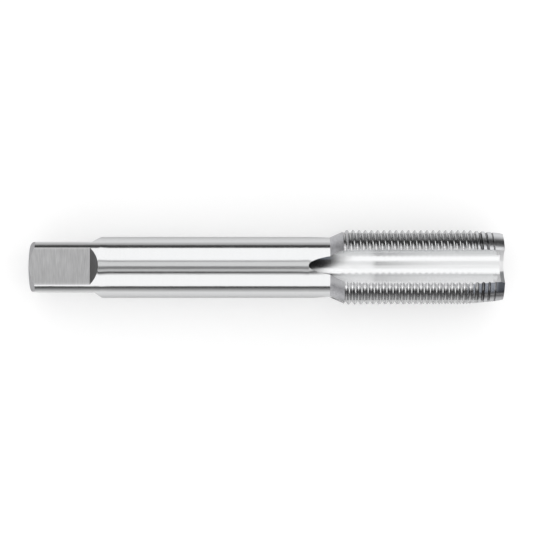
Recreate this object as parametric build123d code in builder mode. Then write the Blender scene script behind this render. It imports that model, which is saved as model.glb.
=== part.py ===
from build123d import *
from math import atan2, cos, degrees, pi, radians, sin, sqrt, tan
import os

# Four-flute straight-flute hand tap, M20 x 1.5 right-hand, ground from one bar.
# It lies on its side as it comes to rest: one flute faces down, two land edges at
# the back of the thread and the back of the shank touch the floor.
# s is the distance along the tap's axis from the drive end.

# ---- driving dimensions, mm and degrees ----
overall_length = 115.0
thread_diameter = 20.0
thread_pitch = 1.5
shank_diameter = 15.0
square_across_flats = 12.0
square_length = 14.85           # parallel part of the upper and lower flats
square_side_length = 15.25      # and of the two side flats
square_runout_angle = 35.0      # slope of the flats up to the shank
square_turn = 1.5               # flats against flutes
drive_end_radius = 5.8          # end face, inside the end chamfer
drive_end_chamfer = 1.45        # length of the end chamfer
collar_start = 73.0             # where the shank meets the collar's cone
collar_angle = 30.0
lead_start = 105.9              # where the tapered lead begins
lead_end_radius = 8.95          # radius of the lead at the cutting end
centre_mouth_radius = 2.4       # 60 degree lathe centres in both ends
centre_pilot_radius = 1.0
centre_pilot_depth = 4.6

rest_slope = 1.4845             # the axis climbs toward the cutting end
rest_roll = 0.1983              # about the axis

crest_flat = thread_pitch / 8
root_flat = thread_pitch * 3 / 16
thread_depth = (thread_pitch - crest_flat - root_flat) / 2 / tan(radians(30))
crest_phase = 77.40             # s of a crest in line with the top flute's centre
groove_over = 0.1               # the grooves are cut from just outside the crests
groove_half_arc = 32.0          # each way from the middle of a land

flute_count = 4
flute_half_angle = 25.6         # half of a flute's opening at the full diameter
rake_wall_angle = 21.0          # cutting face against the flute's centre line
heel_wall_angle = 50.0          # heel wall against the flute's chord
flute_bottom_radius = 3.7
flute_full_depth = 84.2         # s where the flute reaches its full depth
flute_cutter_radius = 67.0      # arc on which the flute runs out to the shank
flute_end_bevel = 1.0           # bevel of the flute's edge at the cutting end
flute_end_bevel_rise = 0.35

# ---- worked out from the driving dimensions ----
R = thread_diameter / 2
r_shank = shank_diameter / 2
r_root = R - thread_depth
half_flats = square_across_flats / 2
square_runout_end = square_length + (r_shank - half_flats) / tan(radians(square_runout_angle))
collar_end = collar_start + (R - r_shank) / tan(radians(collar_angle))

# The tap lies on three points: the lower flute's two land edges at the back of the
# thread, where the flute isn't yet at its full width, and the back of the shank,
# where the lower flat has run out. That gives its slope and a trace of roll.
contact_shank = square_runout_end
axis_x, axis_z = cos(radians(rest_slope)), sin(radians(rest_slope))
along = Vector(axis_x, 0, axis_z)
upright = Vector(-axis_z, 0, axis_x)
up = upright * cos(radians(rest_roll)) - Vector(0, 1, 0) * sin(radians(rest_roll))
side = Vector(0, 1, 0) * cos(radians(rest_roll)) + upright * sin(radians(rest_roll))
# the drive end's place, with the floor at z = 0 and the tap centred on x = 0
x_low = -drive_end_radius * axis_z
x_high = overall_length * axis_x + lead_end_radius * cos(radians(flute_half_angle)) * axis_z
drive_end = Vector(
    -(x_low + x_high) / 2, 0, r_shank * axis_x - contact_shank * axis_z
)


def section_plane(s, turn=0.0):
    """Plane across the axis at s: x outward at the turn, y on round from it."""
    return Plane(
        origin=drive_end + along * s,
        x_dir=up * cos(radians(turn)) + side * sin(radians(turn)),
        z_dir=along * -1,
    )


def axial_plane(turn=0.0):
    """Plane through the axis: x is s, y is outward at the turn."""
    outward = up * cos(radians(turn)) + side * sin(radians(turn))
    return Plane(origin=drive_end, x_dir=along, z_dir=along.cross(outward))


tap_axis = Axis(drive_end, along)

# ---- the flute's section, x outward from the axis, y from heel to cutting edge ----
rake_edge = (R * cos(radians(flute_half_angle)), R * sin(radians(flute_half_angle)))
heel_edge = (rake_edge[0], -rake_edge[1])
sa, ca = sin(radians(rake_wall_angle)), cos(radians(rake_wall_angle))
sb, cb = sin(radians(heel_wall_angle)), cos(radians(heel_wall_angle))
# centre of the bottom arc, tangent to both walls
heel_side = flute_bottom_radius + cb * heel_edge[0] + sb * heel_edge[1]
rake_side = flute_bottom_radius + sa * rake_edge[0] - ca * rake_edge[1]
det = -cb * ca - sa * sb
bottom_x = (-heel_side * ca - rake_side * sb) / det
bottom_y = (cb * rake_side - sa * heel_side) / det
web_radius = sqrt(bottom_x**2 + bottom_y**2) - flute_bottom_radius
flute_outer = 12.6


def flute_points(grow=0.0):
    """Heel outside, heel tangent, floor, rake tangent, rake outside."""
    radius = flute_bottom_radius + grow
    heel_tangent = (bottom_x - radius * cb, bottom_y - radius * sb)
    rake_tangent = (bottom_x - radius * sa, bottom_y + radius * ca)
    return (
        (flute_outer, heel_tangent[1] - (flute_outer - heel_tangent[0]) * cb / sb),
        heel_tangent,
        (bottom_x - radius, bottom_y),
        rake_tangent,
        (flute_outer, rake_tangent[1] + (flute_outer - rake_tangent[0]) * sa / ca),
    )


with BuildPart() as thread_tap:
    # turned blank: end chamfer, shank, collar cone, thread diameter, tapered lead
    with BuildSketch(axial_plane()):
        with BuildLine():
            Polyline(
                (0, 0),
                (0, drive_end_radius),
                (drive_end_chamfer, r_shank),
                (collar_start, r_shank),
                (collar_end, R),
                (lead_start, R),
                (overall_length, lead_end_radius),
                (overall_length, 0),
                close=True,
            )
        make_face()
    revolve(axis=tap_axis)

    # lathe centres: a 60 degree mouth with a small pilot hole, in both ends
    mouth_depth = (centre_mouth_radius - centre_pilot_radius) / tan(radians(30))
    with BuildSketch(axial_plane()):
        with BuildLine():
            Polyline(
                (0, 0),
                (0, centre_mouth_radius),
                (mouth_depth, centre_pilot_radius),
                (centre_pilot_depth, centre_pilot_radius),
                (centre_pilot_depth + centre_pilot_radius * tan(radians(31)), 0),
                close=True,
            )
        make_face()
        with BuildLine():
            Polyline(
                (overall_length, 0),
                (overall_length, centre_mouth_radius),
                (overall_length - mouth_depth, centre_pilot_radius),
                (overall_length - centre_pilot_depth, centre_pilot_radius),
                (overall_length - centre_pilot_depth - centre_pilot_radius * tan(radians(31)), 0),
                close=True,
            )
        make_face()
    revolve(axis=tap_axis, mode=Mode.SUBTRACT)

    # drive square: four milled flats that slope out to the shank
    rise = 2.0
    for i in range(4):
        flat_end = square_length if i % 2 == 0 else square_side_length
        with BuildSketch(axial_plane(square_turn + 90 * i)):
            with BuildLine():
                Polyline(
                    (-1, half_flats),
                    (flat_end, half_flats),
                    (flat_end + rise / tan(radians(square_runout_angle)), half_flats + rise),
                    (-1, half_flats + rise),
                    close=True,
                )
            make_face()
        extrude(amount=r_shank, both=True, mode=Mode.SUBTRACT)

    # flutes: full depth to the cutting end, and out to the shank on the cutter's arc
    for i in range(flute_count):
        turn = 360 / flute_count * i
        flute_plane = section_plane(flute_full_depth, turn)
        heel_out, heel_in, floor, rake_in, rake_out = flute_points()
        with BuildSketch(flute_plane) as flute_section:
            with BuildLine():
                Line(heel_out, heel_in)
                ThreePointArc(heel_in, floor, rake_in)
                Line(rake_in, rake_out)
                Line(rake_out, heel_out)
            make_face()
        extrude(amount=-(overall_length + 1 - flute_full_depth), mode=Mode.SUBTRACT)
        hub = flute_plane.from_local_coords((floor[0] + flute_cutter_radius, 0, 0))
        revolve(
            flute_section.sketch,
            axis=Axis(hub, flute_plane.y_dir),
            revolution_arc=25,
            mode=Mode.SUBTRACT,
        )

    # bevel round each flute's edge at the cutting end
    past = 0.2
    for i in range(flute_count):
        turn = 360 / flute_count * i
        bevel_sections = []
        for s, grow in (
            (overall_length - flute_end_bevel, 0.0),
            (overall_length + past, flute_end_bevel_rise * (1 + past / flute_end_bevel)),
        ):
            heel_out, heel_in, floor, rake_in, rake_out = flute_points(grow)
            with BuildSketch(section_plane(s, turn)) as bevel_section:
                with BuildLine():
                    Line(heel_out, heel_in)
                    ThreePointArc(heel_in, floor, rake_in)
                    Line(rake_in, rake_out)
                    Line(rake_out, heel_out)
                make_face()
            bevel_sections.append(bevel_section.sketch)
        loft(bevel_sections, ruled=True, mode=Mode.SUBTRACT)

    # right-hand V thread. Across one land a turn of the helix is a ring tilted by
    # the lead angle, true to 0.002 mm, so each groove is one tilted part-turn.
    lead_angle = degrees(atan2(thread_pitch, pi * (R + r_root)))
    mouth = R + groove_over
    half_mouth = root_flat / 2 + (mouth - r_root) * tan(radians(30))
    grooves = []
    for i in range(flute_count):
        turn = 360 / flute_count * (i + 0.5)
        outward = up * cos(radians(turn)) + side * sin(radians(turn))
        round_land = side * cos(radians(turn)) - up * sin(radians(turn))
        ring_axis = along * cos(radians(lead_angle)) + round_land * sin(radians(lead_angle))
        ring_tangent = round_land * cos(radians(lead_angle)) - along * sin(radians(lead_angle))
        ring_start = outward * cos(radians(groove_half_arc)) - ring_tangent * sin(radians(groove_half_arc))
        s = crest_phase - thread_pitch * turn / 360 + thread_pitch / 2
        while s > collar_end - 2 * thread_pitch:
            s -= thread_pitch
        while s < overall_length + thread_pitch:
            centre = drive_end + along * s
            ring_plane = Plane(origin=centre, x_dir=ring_axis, z_dir=ring_axis.cross(ring_start))
            with BuildSketch(ring_plane) as groove:
                with BuildLine():
                    Polyline(
                        (-root_flat / 2, r_root),
                        (root_flat / 2, r_root),
                        (half_mouth, mouth),
                        (-half_mouth, mouth),
                        close=True,
                    )
                make_face()
            grooves.append(
                revolve(
                    groove.sketch,
                    axis=Axis(centre, ring_axis * -1),
                    revolution_arc=2 * groove_half_arc,
                    mode=Mode.PRIVATE,
                )
            )
            s += thread_pitch
    add(grooves, mode=Mode.SUBTRACT)

print("slope", rest_slope, "web", web_radius, "root", r_root, "depth", thread_depth)
print("volume", thread_tap.part.volume, thread_tap.part.is_valid, len(thread_tap.part.solids()))
thread_tap.part.label = "thread_tap"
os.makedirs("parts", exist_ok=True)
export_step(thread_tap.part, "parts/thread_tap.step")
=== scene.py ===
import math

import bpy
import numpy as np
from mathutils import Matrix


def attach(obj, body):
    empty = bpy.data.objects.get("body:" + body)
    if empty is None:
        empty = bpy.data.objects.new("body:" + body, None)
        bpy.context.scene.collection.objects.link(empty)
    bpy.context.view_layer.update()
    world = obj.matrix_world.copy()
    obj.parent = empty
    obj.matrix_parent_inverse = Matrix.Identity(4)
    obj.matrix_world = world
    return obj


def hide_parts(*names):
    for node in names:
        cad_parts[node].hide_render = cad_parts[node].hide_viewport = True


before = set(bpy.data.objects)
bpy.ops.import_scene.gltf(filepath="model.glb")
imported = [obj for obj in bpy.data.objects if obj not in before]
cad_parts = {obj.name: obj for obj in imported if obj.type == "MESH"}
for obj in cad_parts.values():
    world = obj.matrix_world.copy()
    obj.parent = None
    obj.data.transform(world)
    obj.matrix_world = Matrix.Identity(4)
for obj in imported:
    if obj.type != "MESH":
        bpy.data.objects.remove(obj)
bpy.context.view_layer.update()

# ----------------------------------------------------------------------------
# sizes, mm: the same hand tap as the CAD node. s runs along its axis from the
# drive end, turn goes round the axis from the upper flute.
# ----------------------------------------------------------------------------
L = 115.0
R = 10.0
PITCH = 1.5
R_SHANK = 7.5
HALF_FLATS = 6.0
SQUARE, SIDE_SQUARE = 14.85, 15.25
SQUARE_SLOPE = math.tan(math.radians(35.0))
SQUARE_TURN = 1.5
R_END = 5.8
END_CHAMFER = 1.45
COLLAR = 73.0
COLLAR_SLOPE = math.tan(math.radians(30.0))
LEAD = 105.9
R_LEAD = 8.95
CENTRE_MOUTH, CENTRE_PILOT, CENTRE_DEPTH = 2.4, 1.0, 4.6
CREST, ROOT = PITCH / 8, PITCH * 3 / 16
R_ROOT = R - (PITCH - CREST - ROOT) / 2 / math.tan(math.radians(30))
CREST_PHASE = 77.40
HALF = 25.6
RAKE, HEEL = math.radians(21.0), math.radians(50.0)
RHO = 3.7
FULL = 84.2
CUTTER = 67.0
BEVEL, BEVEL_RISE = 1.0, 0.35
SLOPE, ROLL = math.radians(1.4845), math.radians(0.1983)

AX = np.array([math.cos(SLOPE), 0.0, math.sin(SLOPE)])
UPRIGHT = np.array([-math.sin(SLOPE), 0.0, math.cos(SLOPE)])
WY = np.array([0.0, 1.0, 0.0])
UP = UPRIGHT * math.cos(ROLL) - WY * math.sin(ROLL)
SIDE = WY * math.cos(ROLL) + UPRIGHT * math.sin(ROLL)
SQUARE_END = SQUARE + (R_SHANK - HALF_FLATS) / SQUARE_SLOPE
DRIVE_END = np.array([
    -(-R_END * AX[2] + L * AX[0] + R_LEAD * math.cos(math.radians(HALF)) * AX[2]) / 2,
    0.0,
    R_SHANK * AX[0] - SQUARE_END * AX[2],
])

# the flute's section: x outward, y from the heel to the cutting edge
EDGE = (R * math.cos(math.radians(HALF)), R * math.sin(math.radians(HALF)))
sa, ca, sb, cb = math.sin(RAKE), math.cos(RAKE), math.sin(HEEL), math.cos(HEEL)
_h = RHO + cb * EDGE[0] - sb * EDGE[1]
_r = RHO + sa * EDGE[0] - ca * EDGE[1]
_det = -cb * ca - sa * sb
CX, CY = (-_h * ca - _r * sb) / _det, (cb * _r - sa * _h) / _det
ARC0, ARC1 = math.pi + HEEL, math.pi / 2 + RAKE
ARC = RHO * (ARC0 - ARC1)
HUB = CX - RHO + CUTTER


def flute_at(t, s):
    """(x, y) of the flute's surface at arc length t from the heel's tangent point, at s."""
    t = np.asarray(t, float)
    s = np.asarray(s, float) + 0 * t
    a = ARC0 - np.clip(t, 0, ARC) / RHO
    x = CX + RHO * np.cos(a)
    y = CY + RHO * np.sin(a)
    out0, out1 = np.maximum(-t, 0), np.maximum(t - ARC, 0)
    x = x + out0 * sb + out1 * ca
    y = y - out0 * cb + out1 * sa
    grow = np.maximum(s - (L - BEVEL), 0) / BEVEL * BEVEL_RISE
    x = x + grow * np.cos(a)
    y = y + grow * np.sin(a)
    back = np.maximum(FULL - s, 0)
    x = HUB - np.sqrt(np.maximum((HUB - x) ** 2 - back**2, 0))
    return x, y


TG = np.linspace(-6.5, ARC + 6.0, 6001)


def crossings(s0, s1, r0, r1):
    """t where the flute's surface, at s0 on the heel side and s1 on the other, reaches r0 and r1."""
    x, y = flute_at(TG, s0)
    r = np.hypot(x, y)
    m = int(np.argmin(r))
    left = r[: m + 1]
    t0 = float(np.interp(-r0, -left, TG[: m + 1])) if left.min() < r0 else TG[m]
    x, y = flute_at(TG, s1)
    r = np.hypot(x, y)
    m = int(np.argmin(r))
    right = r[m:]
    t1 = float(np.interp(r1, right, TG[m:])) if right.min() < r1 else TG[m]
    return t0, t1


def blank(s, from_edge=0.0):
    """Radius of the tap before the thread and flutes; from_edge, 0 at a land's cutting edge and 1 at its heel, is not
    used.
    """
    r = np.where(s < COLLAR, R_SHANK, np.minimum(R_SHANK + (s - COLLAR) * COLLAR_SLOPE, R))
    lead = R - (s - LEAD) * (R - R_LEAD) / (L - LEAD)
    return np.minimum(r, lead)


def thread(x):
    """Thread radius at x along the axis from a crest."""
    d = abs((x + PITCH / 2) % PITCH - PITCH / 2)
    return min(R, max(R_ROOT, R - (d - CREST / 2) / math.tan(math.radians(30))))


def tilt(s):
    """How far the rows follow the helix: 1 along the thread, 0 on the plain ends."""
    return min(1.0, max(0.0, (s - 74.4) / 0.9)) * min(1.0, max(0.0, (L - BEVEL - s) / 1.7))


NQ, NF, NL = 14, 18, 16
RAKE_COLUMNS = 4
SQ, SHANK, CHAMFER, COLLAR_M, FLANK, CREST_M, FLUTE, END, HOLE, LEAD_M, RUNOUT, BEVEL_M = range(12)

points = []
faces, zones = [], []


def add(s, turn, r):
    points.append((s, turn, r))
    return len(points) - 1


class Row:
    """A ring of vertices: for each quarter a list across the flat or flute, and a list across the land."""

    def __init__(self):
        self.cut, self.land = [], []


def ring(cuts, lands, cut_zone, land_zone):
    """cuts[i] is a list of (s, turn, r) across quarter i's flat or flute, lands[i] the points strictly inside its land."""
    row = Row()
    row.cut = [[add(*p) for p in c] for c in cuts]
    for i in range(4):
        inner = [add(*p) for p in lands[i]]
        row.land.append([row.cut[i][-1]] + inner + [row.cut[(i + 1) % 4][0]])
    row.zones = (cut_zone, land_zone)
    return row


def strip(a, b, zone):
    """Faces between two lists of vertices; one of them may be a single vertex."""
    if len(a) == 1 and len(b) == 1:
        return
    if len(a) == 1:
        for j in range(len(b) - 1):
            faces.append((a[0], b[j], b[j + 1]))
            zones.append(zone)
    elif len(b) == 1:
        for j in range(len(a) - 1):
            faces.append((a[j], b[0], a[j + 1]))
            zones.append(zone)
    else:
        for j in range(len(a) - 1):
            faces.append((a[j], b[j], b[j + 1], a[j + 1]))
            zones.append(zone)


def join(a, b, cut_zone, land_zone):
    for i in range(4):
        strip(a.cut[i], b.cut[i], cut_zone)
        strip(a.land[i], b.land[i], land_zone)


# ---- the square end ----
def square_row(half_angle, cut_point, land_s, land_r):
    cuts, lands = [], []
    for i in range(4):
        c = SQUARE_TURN + 90 * i
        cuts.append([cut_point(c, u) for u in np.linspace(-1, 1, NQ + 1)])
        a0, a1 = c + half_angle, c + 90 - half_angle
        lands.append([(land_s, a0 + (a1 - a0) * j / NL, land_r) for j in range(1, NL)])
    return cuts, lands


corner = math.degrees(math.acos(HALF_FLATS / R_SHANK))


def flat_point(d, w, s_of):
    def at(c, u):
        y = w * u
        r = math.hypot(d, y)
        return (s_of(r), c + math.degrees(math.atan2(y, d)), r)

    return at


w0 = math.sqrt(R_SHANK**2 - HALF_FLATS**2)
rows = []
cuts, lands = square_row(corner, lambda c, u: (0.0, c + math.degrees(math.atan2(w0 * u, HALF_FLATS)), R_END), 0.0, R_END)
first = ring(cuts, lands, None, None)
CHAMFER_SLOPE = END_CHAMFER / (R_SHANK - R_END)
cuts, lands = square_row(corner, flat_point(HALF_FLATS, w0, lambda r: (r - R_END) * CHAMFER_SLOPE), END_CHAMFER, R_SHANK)
row = ring(cuts, lands, None, None)
join(first, row, CHAMFER, CHAMFER)
prev = row


def longer_sides(cuts, lands, share):
    """The same row with the two side flats' points moved along to where those flats end."""
    late = [(SIDE_SQUARE - SQUARE) * share * (i % 2) for i in range(5)]
    cuts = [[(s + late[i], t, r) for s, t, r in c] for i, c in enumerate(cuts)]
    lands = [
        [(s + late[i] + (late[i + 1] - late[i]) * j / NL, t, r) for j, (s, t, r) in enumerate(l, 1)]
        for i, l in enumerate(lands)
    ]
    return cuts, lands


for k in range(1, 6):
    f = k / 5
    cuts, lands = square_row(
        corner,
        flat_point(HALF_FLATS, w0, lambda r: (r - R_END) * CHAMFER_SLOPE * (1 - f) + SQUARE * f),
        END_CHAMFER * (1 - f) + SQUARE * f,
        R_SHANK,
    )
    row = ring(*longer_sides(cuts, lands, f), None, None)
    join(prev, row, SQ, SHANK)
    prev = row
for k in range(1, 15):
    a = corner * (1 - k / 14)
    d = R_SHANK * math.cos(math.radians(a))
    s = SQUARE + (d - HALF_FLATS) / SQUARE_SLOPE
    if k < 14:
        cuts, lands = square_row(a, flat_point(d, R_SHANK * math.sin(math.radians(a)), lambda r: s), s, R_SHANK)
    else:
        cuts = [[(s, SQUARE_TURN + 90 * i, R_SHANK)] for i in range(4)]
        lands = [[(s, SQUARE_TURN + 90 * i + 90 * j / NL, R_SHANK) for j in range(1, NL)] for i in range(4)]
    row = ring(*longer_sides(cuts, lands, 1.0), None, None)
    join(prev, row, RUNOUT, SHANK)
    prev = row

# ---- the plain shank, up to the tips of the flutes ----
lo, hi = 66.0, 70.0
for _ in range(50):
    mid = (lo + hi) / 2
    x, y = flute_at(TG, mid)
    if np.hypot(x, y).min() < R_SHANK:
        hi = mid
    else:
        lo = mid
S_TIP = (lo + hi) / 2
x, y = flute_at(TG, S_TIP)
m = int(np.argmin(np.hypot(x, y)))
TIP_TURN = math.degrees(math.atan2(y[m], x[m]))
n = 22
for k in range(1, n + 1):
    f = k / n
    s = SQUARE_END + (S_TIP - SQUARE_END) * f
    c = SQUARE_TURN + (TIP_TURN - SQUARE_TURN) * f
    cuts = [[(s, c + 90 * i, R_SHANK)] for i in range(4)]
    lands = [[(s, c + 90 * i + 90 * j / NL, R_SHANK) for j in range(1, NL)] for i in range(4)]
    row = ring(*longer_sides(cuts, lands, 1.0 - f), None, None)
    join(prev, row, SHANK, SHANK)
    prev = row

# ---- flutes, collar, thread and lead ----
stations = [S_TIP + (COLLAR - S_TIP) * (k / 12) ** 1.7 for k in range(1, 13)]
stations += list(np.linspace(COLLAR, 75.4, 9)[1:])
base = CREST_PHASE - PITCH * 45 / 360
step = PITCH / 32
fine = {2, 3, 5, 6, 10, 11, 13, 14, 18, 19, 21, 22, 26, 27, 29, 30}
k = math.ceil((75.45 - base) / step)
while base + k * step < L - 0.03:
    s = base + k * step
    if s < 78.6 or s > LEAD - 0.2 or k % 32 in fine:
        if s < L - 2.0 or k % 4 == 0:
            stations.append(s)
    k += 1
stations = [v for v in stations if abs(v - (L - BEVEL)) > 0.06] + [L - BEVEL, L]
stations.sort()


def fluted_row(s_row):
    a = tilt(s_row)
    quarter = []
    for i in range(4):
        left_land, right_land = (i - 1) % 4, i
        threads = []
        for land in (left_land, right_land):
            centre = 45 + 90 * land
            phase = s_row - (CREST_PHASE - PITCH * centre / 360)
            threads.append(thread(phase) if s_row > 75.3 else 99.0)
        t_turn = [-HALF, HALF]
        for _ in range(4):
            s0 = s_row - PITCH * (t_turn[0] + 45) / 360 * a
            s1 = s_row - PITCH * (t_turn[1] - 45) / 360 * a
            r0 = min(threads[0], float(blank(s0, 1.0)))
            r1 = min(threads[1], float(blank(s1, 0.0)))
            t0, t1 = crossings(s0, s1, r0, r1)
            x, y = flute_at([t0, t1], [s0, s1])
            t_turn = list(np.degrees(np.arctan2(y, x)))
        # inner columns keep clear of the edge's steps from crest to root
        q0, q1 = min(r0, R_ROOT, float(blank(s0, 1.0))), min(r1, R_ROOT, float(blank(s1, 0.0)))
        i0, i1 = crossings(s0, s1, q0, q1)
        f = min(1.0, max(i1 - i0, 0) / 4.0)
        i0, i1 = i0 + 0.14 * f, i1 - 0.14 * f
        ts = np.concatenate(([t0], np.linspace(i0, i1, NF - 1), [t1]))
        ss = s0 + (s1 - s0) * (ts - t0) / max(t1 - t0, 1e-9)
        x, y = flute_at(ts, ss)
        quarter.append(
            dict(
                pts=[(float(c), 90 * i + math.degrees(math.atan2(q, p)), float(math.hypot(p, q))) for c, p, q in zip(ss, x, y)],
                left=t_turn[0] + 90 * i,
                right=t_turn[1] + 90 * i,
            )
        )
    lands = []
    for i in range(4):
        centre = 45 + 90 * i
        phase = s_row - (CREST_PHASE - PITCH * centre / 360)
        rt = thread(phase) if s_row > 75.3 else 99.0
        a0 = quarter[i]["right"]
        a1 = quarter[(i + 1) % 4]["left"] + (360 if i == 3 else 0)
        inner = []
        for j in range(1, NL):
            turn = a0 + (a1 - a0) * j / NL
            s = s_row - PITCH * (turn - centre) / 360 * a
            inner.append((s, turn, min(rt, float(blank(s, j / NL)))))
        lands.append(inner)
    return ring([q["pts"] for q in quarter], lands, None, None)


def land_zone(s0, s1, i):
    """Which surface a land's faces between two rows belong to."""
    s = (s0 + s1) / 2
    if s < COLLAR:
        return SHANK
    centre = 45 + 90 * i
    rt = thread(s - (CREST_PHASE - PITCH * centre / 360)) if s > 75.3 else 99.0
    b = float(blank(s))
    if rt < b - 1e-6:
        return FLANK
    if s > LEAD:
        return LEAD_M
    return COLLAR_M if b < R - 1e-6 else CREST_M


before = S_TIP
for s in stations:
    row = fluted_row(s)
    for i in range(4):
        strip(prev.cut[i], row.cut[i], FLUTE if s < L - BEVEL + 1e-6 else BEVEL_M)
        if L - BEVEL - 0.85 < s < L - BEVEL + 1e-6:
            # the wall's corner below the cutting edge takes the bevel's pale satin steel, a painted highlight in place
            # of the dark reflection there
            zones[-RAKE_COLUMNS:] = [BEVEL_M] * RAKE_COLUMNS
        strip(prev.land[i], row.land[i], land_zone(before, s, i))
    prev, before = row, s
last = prev


# ---- end faces and lathe centres ----
def outline(row):
    ids = []
    for i in range(4):
        ids += row.cut[i][:-1] + row.land[i][:-1]
    return ids


def cap(ids, at_start):
    s_end = 0.0 if at_start else L
    sign = 1.0 if at_start else -1.0
    ring_ids = ids
    depth = (CENTRE_MOUTH - CENTRE_PILOT) / math.tan(math.radians(30))
    stages = [
        (0.0, 4.4, END), (0.0, 3.3, END), (0.0, CENTRE_MOUTH, END), (depth / 2, (CENTRE_MOUTH + CENTRE_PILOT) / 2, HOLE),
        (depth, CENTRE_PILOT, HOLE), (CENTRE_DEPTH, CENTRE_PILOT, HOLE),
    ]
    for ds, r, zone in stages:
        new = [add(s_end + sign * ds, points[v][1], r) for v in ids]
        for j in range(len(ids)):
            q = (ring_ids[j], ring_ids[(j + 1) % len(ids)], new[(j + 1) % len(ids)], new[j])
            faces.append(q if at_start else q[::-1])
            zones.append(zone)
        ring_ids = new
    tip = add(s_end + sign * (CENTRE_DEPTH + CENTRE_PILOT * math.tan(math.radians(31))), 0.0, 0.0)
    for j in range(len(ids)):
        q = (ring_ids[j], ring_ids[(j + 1) % len(ids)], tip)
        faces.append(q if at_start else q[::-1])
        zones.append(HOLE)


cap(outline(first), True)
cap(outline(last), False)

P = np.array(points)
turn = np.radians(P[:, 1])
XYZ = (
    DRIVE_END
    + P[:, :1] * AX
    + (np.cos(turn)[:, None] * UP + np.sin(turn)[:, None] * SIDE) * P[:, 2:3]
) / 1000.0


# ----------------------------------------------------------------------------
# the mesh
# ----------------------------------------------------------------------------
NAMES = [
    "milled_square", "ground_shank", "turned_chamfer", "turned_collar", "ground_flank",
    "ground_crest", "ground_flute", "faced_end", "drilled_centre", "ground_lead",
    "milled_runout", "ground_bevel",
]
mesh = bpy.data.meshes.new("tap_body")
mesh.from_pydata([tuple(p) for p in XYZ], [], faces)
mesh.polygons.foreach_set("material_index", zones)
mesh.polygons.foreach_set("use_smooth", [True] * len(faces))
mesh.update()
mesh.set_sharp_from_angle(angle=math.radians(26))
sharp = mesh.attributes["sharp_edge"] if "sharp_edge" in mesh.attributes else None
flags = np.zeros(len(mesh.edges), bool)
if sharp is None:
    sharp = mesh.attributes.new("sharp_edge", "BOOLEAN", "EDGE")
else:
    sharp.data.foreach_get("value", flags)
loop_edge = np.zeros(len(mesh.loops), np.int32)
mesh.loops.foreach_get("edge_index", loop_edge)
loop_total = np.zeros(len(mesh.polygons), np.int32)
mesh.polygons.foreach_get("loop_total", loop_total)
loop_zone = np.repeat(np.array(zones), loop_total)
low = np.full(len(mesh.edges), 99)
high = np.full(len(mesh.edges), -1)
np.minimum.at(low, loop_edge, loop_zone)
np.maximum.at(high, loop_edge, loop_zone)
flags |= low != high
sharp.data.foreach_set("value", flags)
mesh.update()

tap = bpy.data.objects.new("thread_tap_body", mesh)
bpy.context.collection.objects.link(tap)


# ----------------------------------------------------------------------------
# materials
# ----------------------------------------------------------------------------
class Graph:
    """Short calls for building a node tree; arguments may be sockets or numbers."""

    def __init__(self, tree):
        self.tree = tree
        tree.nodes.clear()

    def node(self, kind, **props):
        n = self.tree.nodes.new(kind)
        for k, v in props.items():
            setattr(n, k, v)
        return n

    def put(self, socket, value):
        if isinstance(value, bpy.types.NodeSocket):
            self.tree.links.new(value, socket)
        else:
            socket.default_value = value

    def math(self, op, *args, clamp=False):
        n = self.node("ShaderNodeMath", operation=op, use_clamp=clamp)
        for i, a in enumerate(args):
            self.put(n.inputs[i], a)
        return n.outputs[0]

    def dot(self, vector, const):
        n = self.node("ShaderNodeVectorMath", operation="DOT_PRODUCT")
        self.put(n.inputs[0], vector)
        n.inputs[1].default_value = const
        return n.outputs["Value"]

    def xyz(self, x, y, z):
        n = self.node("ShaderNodeCombineXYZ")
        for i, a in enumerate((x, y, z)):
            self.put(n.inputs[i], a)
        return n.outputs[0]

    def noise(self, vector, scale=1.0, detail=3.0, rough=0.55, distortion=0.0):
        n = self.node("ShaderNodeTexNoise", noise_dimensions="3D")
        self.put(n.inputs["Vector"], vector)
        n.inputs["Scale"].default_value = scale
        n.inputs["Detail"].default_value = detail
        n.inputs["Roughness"].default_value = rough
        n.inputs["Distortion"].default_value = distortion
        return n.outputs["Fac"]

    def remap(self, value, a, b, c, d, smooth=False):
        n = self.node("ShaderNodeMapRange", interpolation_type="SMOOTHSTEP" if smooth else "LINEAR")
        self.put(n.inputs["Value"], value)
        for k, v in (("From Min", a), ("From Max", b), ("To Min", c), ("To Max", d)):
            self.put(n.inputs[k], v)
        return n.outputs["Result"]

    def mix(self, fac, a, b):
        n = self.node("ShaderNodeMix", data_type="RGBA")
        self.put(n.inputs[0], fac)
        self.put(n.inputs[6], a)
        self.put(n.inputs[7], b)
        return n.outputs[2]

    def band(self, value, lo, hi, soft):
        """1 between lo and hi, falling smoothly to 0 over soft on each side."""
        up = self.remap(value, lo - soft, lo + soft, 0.0, 1.0, smooth=True)
        down = self.remap(value, hi - soft, hi + soft, 1.0, 0.0, smooth=True)
        return self.math("MULTIPLY", up, down)


def tap_frame(g):
    """s, height and side in mm in the tap's own frame, its radius, and its turn in degrees."""
    p = g.node("ShaderNodeTexCoord").outputs["Object"]
    n = g.node("ShaderNodeVectorMath", operation="SUBTRACT")
    g.put(n.inputs[0], p)
    n.inputs[1].default_value = tuple(DRIVE_END / 1000)
    q = n.outputs[0]
    s, u, v = (g.dot(q, tuple(a * 1000)) for a in (AX, UP, SIDE))
    r = g.math("SQRT", g.math("ADD", g.math("MULTIPLY", u, u), g.math("MULTIPLY", v, v)))
    turn = g.math("MULTIPLY", g.math("ARCTAN2", v, u), 180 / math.pi)
    return s, u, v, r, turn


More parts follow.
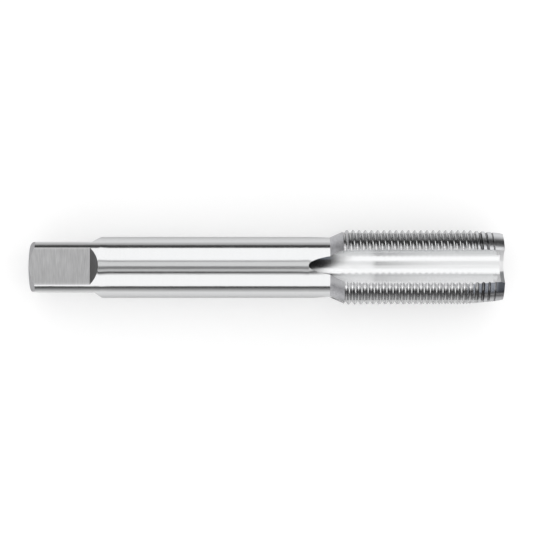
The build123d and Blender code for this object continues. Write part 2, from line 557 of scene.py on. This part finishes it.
def steel(name, tone, rough, vary, grain, bump, anisotropy=0.0, rotation=0.0, tint=None, patches=0.12, rim=1.0, wave=0.0, metal=1.0, matt=None):
    """Bare steel. grain(g, s, u, v, r, turn) gives the direction of its fine lines as a vector for noise.
    rim is its tint at a grazing angle, which below 1 dims the reflection near the outline as painted shade, wave the
    height in mm of the ground surface's slow waviness, and metal is below 1 where the steel is made partly satin and
    pale, a painted highlight. matt(g, turn) is how far the surface is rubbed matt."""
    m = bpy.data.materials.new(name)
    m.use_nodes = True
    g = Graph(m.node_tree)
    out = g.node("ShaderNodeOutputMaterial")
    bsdf = g.node("ShaderNodeBsdfPrincipled")
    g.tree.links.new(bsdf.outputs[0], out.inputs[0])
    frame_ = tap_frame(g)
    s, u, v, r, turn = frame_
    lines = g.noise(grain(g, *frame_), 1.0, 4.0, 0.62)
    cloud = g.noise(g.xyz(s, u, v), patches, 3.0, 0.5)
    bsdf.inputs["Metallic"].default_value = metal
    bsdf.inputs["Specular Tint"].default_value = (rim, rim, rim, 1.0)
    bsdf.inputs["Anisotropic"].default_value = anisotropy
    bsdf.inputs["Anisotropic Rotation"].default_value = rotation
    dark = tuple(c * (1 - vary) for c in tone) + (1.0,)
    pale = tuple(min(1.0, c * (1 + 0.6 * vary)) for c in tone) + (1.0,)
    fine = g.remap(lines, 0.3, 0.7, 0.0, 1.0)
    colour = g.mix(g.math("ADD", g.math("MULTIPLY", fine, 0.65), g.math("MULTIPLY", cloud, 0.35)), dark, pale)
    if tint:
        colour = tint(g, colour, frame_, lines, cloud)
    g.put(bsdf.inputs["Base Color"], colour)
    spread = g.math("ADD", g.math("MULTIPLY", lines, 0.6), g.math("MULTIPLY", cloud, 0.4))
    roughness = g.remap(spread, 0.25, 0.75, rough * 0.82, rough * 1.2)
    if matt:
        roughness = g.math("ADD", roughness, matt(g, turn))
    g.put(bsdf.inputs["Roughness"], roughness)
    b = g.node("ShaderNodeBump")
    b.inputs["Strength"].default_value = bump[0]
    b.inputs["Distance"].default_value = bump[1] / 1000
    g.put(b.inputs["Height"], lines)
    if wave:
        slow = g.node("ShaderNodeBump")
        slow.inputs["Strength"].default_value = 1.0
        slow.inputs["Distance"].default_value = wave / 1000
        swell = g.xyz(g.math("MULTIPLY", s, 0.35), g.math("MULTIPLY", u, 0.55), g.math("MULTIPLY", v, 0.55))
        g.put(slow.inputs["Height"], g.noise(swell, 1.0, 3.0, 0.6))
        g.put(b.inputs["Normal"], slow.outputs[0])
    g.put(bsdf.inputs["Normal"], b.outputs[0])
    if anisotropy:
        t = g.node("ShaderNodeTangent", direction_type="RADIAL", axis="X")
        g.put(bsdf.inputs["Tangent"], t.outputs[0])
    return m


def round_lines(per_mm, along_turn=0.12):
    def at(g, s, u, v, r, turn):
        return g.xyz(g.math("MULTIPLY", s, per_mm), g.math("MULTIPLY", u, along_turn), g.math("MULTIPLY", v, along_turn))

    return at


def long_lines(per_mm, along=0.05):
    def at(g, s, u, v, r, turn):
        return g.xyz(g.math("MULTIPLY", s, along), g.math("MULTIPLY", u, per_mm), g.math("MULTIPLY", v, per_mm))

    return at


def mottled(per_mm):
    def at(g, s, u, v, r, turn):
        return g.xyz(g.math("MULTIPLY", s, per_mm), g.math("MULTIPLY", u, per_mm), g.math("MULTIPLY", v, per_mm))

    return at


def worn_square(g, colour, f, lines, cloud):
    """The flats are brighter along their edges, where a wrench has rubbed them."""
    s, u, v, r, turn = f
    edge = g.remap(g.math("ADD", r, g.math("MULTIPLY", lines, 0.25)), 7.2, 7.6, 0.0, 0.6, smooth=True)
    return g.mix(edge, colour, (0.86, 0.86, 0.87, 1.0))


def round_from_flute(g, turn):
    """Degrees round from the nearest flute's centre: positive toward the cutting edge."""
    return g.math("SUBTRACT", g.math("FLOORED_MODULO", g.math("ADD", turn, 45.0), 90.0), 45.0)


def flute_tint(g, colour, frame_, lines, cloud):
    """The heel wall is a painted highlight, a little brighter than the floor; the tip of the run-out is darkened, a
    painted shade.
    """
    s, turn = frame_[0], frame_[4]
    # painted highlight: the flute's heel wall is made brighter
    heel = g.remap(round_from_flute(g, turn), -25.0, -16.0, 1.0, 0.0, smooth=True)
    colour = g.mix(g.math("MULTIPLY", heel, 0.85), colour, (0.93, 0.93, 0.935, 1.0))
    # painted shade: the tip of the run-out is darkened
    painted_tip_shade = g.remap(s, 68.5, 73.5, 0.62, 0.0, smooth=True)
    return g.mix(painted_tip_shade, colour, (0.12, 0.12, 0.12, 1.0))


def beside_upper_flute(g, turn):
    """The thread is rubbed matt where it meets the upper flute."""
    return g.remap(g.math("ABSOLUTE", turn), 27.5, 34.5, 0.24, 0.0, smooth=True)


def flank_tint(g, colour, frame_, lines, cloud):
    """The thread's flanks are brighter beside the upper flute, most of all on its heel side, which is a painted
    highlight, and dark in the lead's last turns."""
    s, turn = frame_[0], frame_[4]
    lead = g.remap(s, 107.6, 109.4, 0.0, 1.0)
    full = g.math("SUBTRACT", 1.0, lead)
    # painted highlight: the flanks on both sides of the upper flute, and a band at its heel-side edge, are made
    # brighter
    beside = g.math("MULTIPLY", g.remap(turn, 31.0, 34.4, 1.0, 0.0, smooth=True), g.remap(turn, 0.0, 5.0, 0.0, 1.0))
    colour = g.mix(g.math("MULTIPLY", beside, full), colour, (0.76, 0.76, 0.765, 1.0))
    below = g.math("MULTIPLY", g.remap(turn, -37.2, -33.8, 0.0, 1.0, smooth=True), g.remap(turn, -10.0, -5.0, 1.0, 0.0))
    colour = g.mix(g.math("MULTIPLY", below, full), colour, (0.82, 0.82, 0.825, 1.0))
    edge = g.math("MULTIPLY", g.remap(turn, -31.5, -28.8, 0.0, 1.0, smooth=True), g.remap(turn, -28.2, -26.2, 1.0, 0.0))
    colour = g.mix(g.math("MULTIPLY", edge, full), colour, (0.72, 0.72, 0.725, 1.0))
    return g.mix(g.math("MULTIPLY", lead, 0.75), colour, (0.10, 0.10, 0.105, 1.0))


def crest_tint(g, colour, frame_, lines, cloud):
    """The crests are darker where they meet the upper flute, a painted shade."""
    # painted shade: the crests beside the upper flute are darkened
    turn = g.math("ABSOLUTE", frame_[4])
    return g.mix(g.remap(turn, 27.5, 32.5, 1.0, 0.0, smooth=True), colour, (0.58, 0.58, 0.585, 1.0))


def lead_tint(g, colour, frame_, lines, cloud):
    """Below the upper flute the lead is brighter and bluer, a painted highlight, and darker at its very end."""
    s, turn = frame_[0], frame_[4]
    # painted highlight: the lead below the upper flute is made brighter
    below = g.math("MULTIPLY", g.remap(turn, -50.0, -40.0, 0.0, 1.0, smooth=True), g.remap(turn, -12.0, -5.0, 1.0, 0.0))
    colour = g.mix(g.math("MULTIPLY", below, 0.8), colour, (0.86, 0.865, 0.88, 1.0))
    edge = g.math("ADD", s, g.math("MULTIPLY", lines, 1.2))
    return g.mix(g.math("MULTIPLY", below, g.remap(edge, 113.3, 114.2, 0.0, 0.78)), colour, (0.10, 0.105, 0.115, 1.0))


def bevel_tint(g, colour, frame_, lines, cloud):
    """The bevel at the flute's mouth is darker beside the cutting edge, and darker still on its heel side."""
    local = round_from_flute(g, frame_[4])
    colour = g.mix(g.remap(local, 12.0, 18.0, 0.0, 0.8, smooth=True), colour, (0.66, 0.66, 0.665, 1.0))
    return g.mix(g.remap(local, -14.0, -9.0, 0.9, 0.0, smooth=True), colour, (0.22, 0.225, 0.235, 1.0))


def collar_tint(g, colour, frame_, lines, cloud):
    """The collar is brighter below the upper flute, a painted highlight, and darker beside each cutting edge toward the
    thread.
    """
    s, turn = frame_[0], frame_[4]
    # painted highlight: the collar below the upper flute is made brighter
    bright = g.math("MULTIPLY", g.remap(turn, -37.0, -27.0, 0.0, 0.45, smooth=True), g.remap(turn, -12.0, -4.0, 1.0, 0.0))
    colour = g.mix(bright, colour, (0.80, 0.80, 0.815, 1.0))
    local = round_from_flute(g, turn)
    fac = g.math("MULTIPLY", g.remap(local, 25.0, 40.0, 1.0, 0.0, smooth=True), g.remap(local, 0.0, 10.0, 0.0, 1.0))
    fac = g.math("MULTIPLY", fac, g.remap(s, 74.0, 76.4, 0.0, 0.7, smooth=True))
    return g.mix(fac, colour, (0.20, 0.20, 0.205, 1.0))


STEEL = (0.685, 0.69, 0.695)
materials = [
    steel("milled_square", (0.68, 0.68, 0.685), 0.42, 0.30, round_lines(6.5, 0.30), (0.35, 0.02), 0.3, 0.25, worn_square),
    # rim below 1 here and below is painted shade that dims reflections near the outline
    steel("ground_shank", STEEL, 0.13, 0.03, round_lines(9.0), (0.10, 0.004), 0.5, 0.25, rim=0.68, wave=0.007),
    steel("turned_chamfer", (0.46, 0.46, 0.47), 0.38, 0.14, round_lines(7.0), (0.3, 0.01), 0.4, 0.25, rim=0.6),
    steel("turned_collar", (0.51, 0.51, 0.53), 0.34, 0.34, mottled(2.6), (0.6, 0.03), tint=collar_tint, patches=0.7),
    # the flanks' tone, darker than the crests', is painted shade for the thread's grooves
    steel("ground_flank", (0.46, 0.46, 0.465), 0.18, 0.10, round_lines(14.0, 0.4), (0.2, 0.004), 0.3, 0.25, flank_tint, matt=beside_upper_flute),
    steel("ground_crest", STEEL, 0.18, 0.08, round_lines(12.0, 0.4), (0.2, 0.004), 0.3, 0.25, crest_tint, rim=0.8, matt=beside_upper_flute),
    steel("ground_flute", (0.755, 0.76, 0.765), 0.15, 0.08, long_lines(5.0), (0.2, 0.004), 0.9, 0.0, flute_tint),
    steel("faced_end", (0.60, 0.60, 0.61), 0.36, 0.12, mottled(3.0), (0.3, 0.01)),
    steel("drilled_centre", (0.52, 0.52, 0.53), 0.40, 0.12, round_lines(7.0), (0.3, 0.01)),
    steel("ground_lead", (0.64, 0.645, 0.66), 0.18, 0.10, round_lines(9.0, 0.3), (0.25, 0.006), 0.3, 0.25, lead_tint, rim=0.8),
    steel("milled_runout", (0.52, 0.52, 0.525), 0.36, 0.16, round_lines(3.4, 0.45), (0.35, 0.012), 0.3, 0.25),
    # the bevel's pale, partly satin steel is a painted highlight
    steel("ground_bevel", (0.90, 0.90, 0.905), 0.42, 0.10, long_lines(4.0, 1.0), (0.2, 0.006), tint=bevel_tint, metal=0.4),
]
for m in materials:
    mesh.materials.append(m)

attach(tap, "root")
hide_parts("thread_tap")

# ----------------------------------------------------------------------------
# floor, light and camera
# ----------------------------------------------------------------------------
bpy.ops.mesh.primitive_circle_add(vertices=96, radius=3.0, fill_type="NGON", location=(0, 0, 0))
floor = bpy.context.object
floor.name = "floor"
fm = bpy.data.materials.new("pale_floor")
fm.use_nodes = True
g = Graph(fm.node_tree)
out = g.node("ShaderNodeOutputMaterial")
pos = g.node("ShaderNodeNewGeometry").outputs["Position"]
sep = g.node("ShaderNodeSeparateXYZ")
g.put(sep.inputs[0], pos)
# the lit part of the table ends a little way from the tap, so that its far part is dim in the steel
out_y = g.math("MAXIMUM", sep.outputs[1], g.math("MULTIPLY", sep.outputs[1], -0.95))
near = g.remap(out_y, 0.034, 0.07, 1.0, 0.66, smooth=True)
middle = g.remap(out_y, 0.07, 0.16, 1.0, 0.70)
distant = g.remap(out_y, 0.16, 0.8, 1.0, 0.25)
# and it falls off sooner beyond the cutting end, on the near side
near_side = g.remap(sep.outputs[1], -0.012, -0.004, 1.0, 0.0)
aside = g.math("MULTIPLY", g.math("MULTIPLY", g.remap(sep.outputs[0], 0.055, 0.080, 0.0, 1.0), g.remap(sep.outputs[0], 0.095, 0.110, 1.0, 0.0)), near_side)
aside = g.math("SUBTRACT", 1.0, g.math("MULTIPLY", aside, 0.8))
beyond_end = g.math("MAXIMUM", g.remap(sep.outputs[0], 0.074, 0.095, 1.0, 0.45, smooth=True), near_side)
fade = g.math("MULTIPLY", g.math("MULTIPLY", near, middle), g.math("MULTIPLY", distant, g.math("MULTIPLY", aside, beyond_end)))
camera_ray = g.node("ShaderNodeLightPath").outputs["Is Camera Ray"]
level = g.math("MAXIMUM", g.math("MULTIPLY", fade, 0.95), camera_ray)
diffuse = g.node("ShaderNodeBsdfDiffuse")
g.put(diffuse.inputs["Color"], g.mix(level, (0.0, 0.0, 0.0, 1), (0.70, 0.70, 0.70, 1)))
glow = g.node("ShaderNodeEmission")
glow.inputs["Color"].default_value = (1, 1, 1, 1)
g.put(glow.inputs["Strength"], g.math("MULTIPLY", level, g.remap(sep.outputs[0], 0.0, 0.03, 0.335, 0.358, smooth=True)))
add_ = g.node("ShaderNodeAddShader")
g.tree.links.new(diffuse.outputs[0], add_.inputs[0])
g.tree.links.new(glow.outputs[0], add_.inputs[1])
g.tree.links.new(add_.outputs[0], out.inputs[0])
floor.data.materials.append(fm)

world = bpy.data.worlds.new("studio")
bpy.context.scene.world = world
world.use_nodes = True
g = Graph(world.node_tree)
d = g.node("ShaderNodeTexCoord").outputs["Generated"]
sep = g.node("ShaderNodeSeparateXYZ")
g.put(sep.inputs[0], d)
dx, dy, dz = sep.outputs
DEG = 180 / math.pi
phi = g.math("MULTIPLY", g.math("ARCTAN2", dy, dz), DEG)
tip = g.math("MULTIPLY", g.math("ARCSINE", dx), DEG)


def total(*terms):
    s = terms[0]
    for t in terms[1:]:
        s = g.math("ADD", s, t)
    return s


def times(a, b):
    return g.math("MULTIPLY", a, b)


# two long softboxes side by side, with the camera's gap between them; the near one ends sooner
BOX = 1.27
corner_cut = times(g.math("MAXIMUM", g.math("SUBTRACT", tip, 8.0), 0.0), 1.1)
inner = g.remap(phi, 24.3, 26.7, 0.0, 1.0, smooth=True)
outer = g.remap(g.math("ADD", phi, corner_cut), 75.6, 78.2, 1.0, 0.0, smooth=True)
lit_side = g.remap(g.math("SUBTRACT", tip, times(phi, 0.16)), 15.8, 21.8, 1.0, 0.0, smooth=True)
dim_side = g.remap(g.math("SUBTRACT", tip, times(phi, 0.08)), 13.4, 21.8, 1.0, 0.0, smooth=True)
rear = g.remap(tip, -61.0, -43.0, 0.0, 1.0, smooth=True)
upper_box = times(times(inner, outer), times(rear, lit_side))
lower_box = times(g.band(phi, -77.0, -28.0, 1.5), times(rear, dim_side))
boxes = times(total(upper_box, lower_box), BOX)
gap = g.band(phi, -27.0, 25.0, 1.6)
seams = total(
    times(g.band(phi, 18.5, 23.5, 1.8), 0.38),
    times(g.band(phi, -7.0, 2.8, 2.0), 0.64),
    times(g.band(phi, -24.4, -16.4, 2.0), 0.82),
    times(g.band(phi, -15.0, -6.0, 2.0), 0.24),
)
beyond = g.remap(tip, 2.0, 3.6, 0.0, 1.0, smooth=True)
grey = g.math("MAXIMUM", g.math("SUBTRACT", 0.84, seams), 0.0)
open_gap = g.math("SUBTRACT", 1.12, times(g.band(phi, -26.0, 2.0, 6.0), 0.14))
grey = total(times(grey, g.math("SUBTRACT", 1.0, beyond)), times(open_gap, beyond))
gap = times(times(gap, grey), times(g.remap(tip, -30.0, -22.0, 0.0, 1.0, smooth=True), dim_side))
end_panel = times(total(times(g.band(phi, -90.0, 62.0, 3.0), 1.15), times(g.band(phi, 66.0, 110.0, 4.0), 0.36)), g.band(tip, 36.0, 64.0, 2.0))
# the unlit room is darker still past the cutting end
room = g.remap(tip, 17.0, 24.0, 0.066, 0.020, smooth=True)
light = total(boxes, gap, end_panel, room)
lit = g.node("ShaderNodeBackground")
g.put(lit.inputs["Strength"], light)
lit.inputs["Color"].default_value = (1, 1, 1, 1)
dusk = g.node("ShaderNodeBackground")
g.put(dusk.inputs["Strength"], times(times(g.band(phi, -84.0, -46.0, 4.0), g.band(tip, 17.0, 30.0, 2.0)), 0.26))
dusk.inputs["Color"].default_value = (0.70, 0.80, 1.0, 1)
horizon = g.node("ShaderNodeBackground")
g.put(horizon.inputs["Strength"], times(times(g.band(phi, -92.0, -85.0, 1.5), g.band(tip, -60.0, 12.0, 5.0)), 0.20))
horizon.inputs["Color"].default_value = (1, 1, 1, 1)
studio = g.node("ShaderNodeAddShader")
g.tree.links.new(lit.outputs[0], studio.inputs[0])
g.tree.links.new(dusk.outputs[0], studio.inputs[1])
whole = g.node("ShaderNodeAddShader")
g.tree.links.new(studio.outputs[0], whole.inputs[0])
g.tree.links.new(horizon.outputs[0], whole.inputs[1])
plain = g.node("ShaderNodeBackground")
plain.inputs["Color"].default_value = (1.0, 1.0, 1.0, 1)
path = g.node("ShaderNodeLightPath")
seen = g.math("MAXIMUM", path.outputs["Is Camera Ray"], path.outputs["Is Diffuse Ray"])
mixs = g.node("ShaderNodeMixShader")
g.put(mixs.inputs[0], seen)
g.tree.links.new(whole.outputs[0], mixs.inputs[1])
g.tree.links.new(plain.outputs[0], mixs.inputs[2])
out = g.node("ShaderNodeOutputWorld")
g.tree.links.new(mixs.outputs[0], out.inputs[0])

view_turn = math.radians(-1.5)
toward = UP * math.cos(view_turn) + SIDE * math.sin(view_turn)
image_up = SIDE * math.cos(view_turn) - UP * math.sin(view_turn)
cam_data = bpy.data.cameras.new("camera")
cam = bpy.data.objects.new("camera", cam_data)
bpy.context.collection.objects.link(cam)
cam_data.lens = 114.82
cam_data.sensor_width = 36.0
cam_data.clip_start = 0.01
cam_data.clip_end = 20.0
at = (DRIVE_END + AX * 57.586 + toward * 417.06 + image_up * 0.221) / 1000
M = np.eye(4)
M[:3, 0], M[:3, 1], M[:3, 2], M[:3, 3] = AX, image_up, toward, at
import mathutils

cam.matrix_world = mathutils.Matrix([list(row) for row in M])
bpy.context.scene.camera = cam
bpy.context.scene.view_settings.view_transform = "Standard"
bpy.context.scene.view_settings.look = "None"
